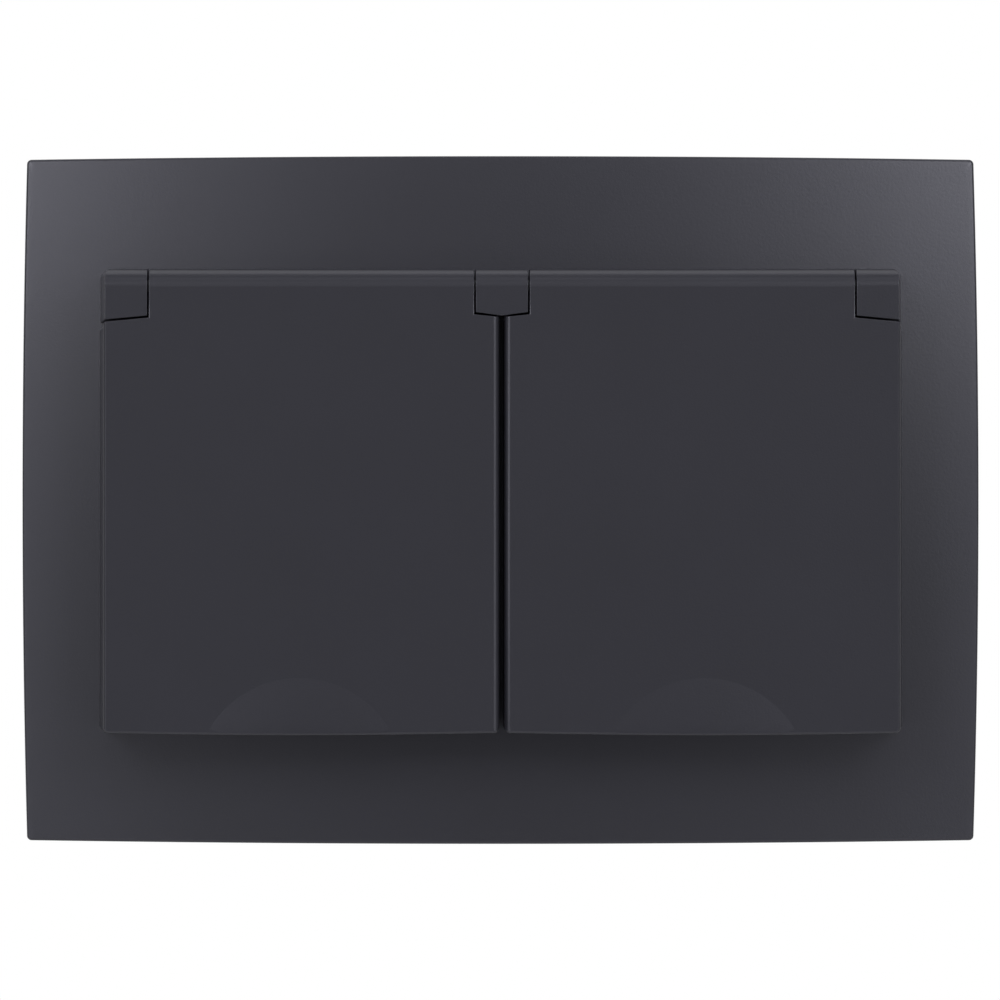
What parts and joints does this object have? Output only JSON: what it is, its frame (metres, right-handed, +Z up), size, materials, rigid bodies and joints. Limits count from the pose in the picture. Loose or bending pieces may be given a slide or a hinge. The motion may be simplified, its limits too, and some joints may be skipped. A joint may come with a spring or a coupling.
{
  "type": "outdoor weatherproof socket",
  "caption": "Flush double mains socket with a crowned cover frame and two sprung splash lids hinged along their top edge over round plug recesses.",
  "frame": {"origin": "middle of the wall seal's rear face, on the wall plane between the two sockets", "axes": "+X to the right seen from the room, +Y into the wall, +Z up"},
  "size_m": [0.17, 0.0522, 0.1222],
  "materials": {
    "anthracite_shell": "fine-grained matte lacquer",
    "anthracite_cup": "plain matte moulding",
    "black_rubber": "matte",
    "bright_steel": "plated",
    "zinc_sheet": "zinc-plated sheet",
    "grey_moulding": "pressed moulding",
    "contact_brass": "rolled strip"
  },
  "bodies": {
    "mounted": {"cover_frame": "anthracite_shell", "hinge_carrier": "anthracite_shell", "wall_seal": "black_rubber", "left_hinge_pin": "bright_steel", "left_lid_spring": "bright_steel", "left_cup_seal": "black_rubber", "left_socket_cup": "anthracite_cup", "left_centre_screw": "bright_steel", "left_support_ring": "zinc_sheet", "left_insert_base": "grey_moulding", "left_line_contact": "contact_brass", "left_neutral_contact": "contact_brass", "left_earth_bracket": "contact_brass", "left_wire_clamps": "bright_steel", "right_hinge_pin": "bright_steel", "right_lid_spring": "bright_steel", "right_cup_seal": "black_rubber", "right_socket_cup": "anthracite_cup", "right_centre_screw": "bright_steel", "right_support_ring": "zinc_sheet", "right_insert_base": "grey_moulding", "right_line_contact": "contact_brass", "right_neutral_contact": "contact_brass", "right_earth_bracket": "contact_brass", "right_wire_clamps": "bright_steel"},
    "left_lid_body": {"left_lid": "anthracite_shell", "left_lid_seal": "black_rubber"},
    "right_lid_body": {"right_lid": "anthracite_shell", "right_lid_seal": "black_rubber"}
  },
  "joints": [
    {"name": "left_lid_hinge", "type": "hinge", "parent": "mounted", "child": "left_lid_body", "pos_m": [-0.0355, -0.0208, 0.0374], "axis": [-1, 0, 0], "range_deg": [0, 110], "stiffness_Nm_per_rad": 0.01, "springref_deg": -68.75, "deforming": ["left_lid_spring"]},
    {"name": "right_lid_hinge", "type": "hinge", "parent": "mounted", "child": "right_lid_body", "pos_m": [0.0355, -0.0208, 0.0374], "axis": [-1, 0, 0], "range_deg": [0, 110], "stiffness_Nm_per_rad": 0.01, "springref_deg": -68.75, "deforming": ["right_lid_spring"]}
  ]
}
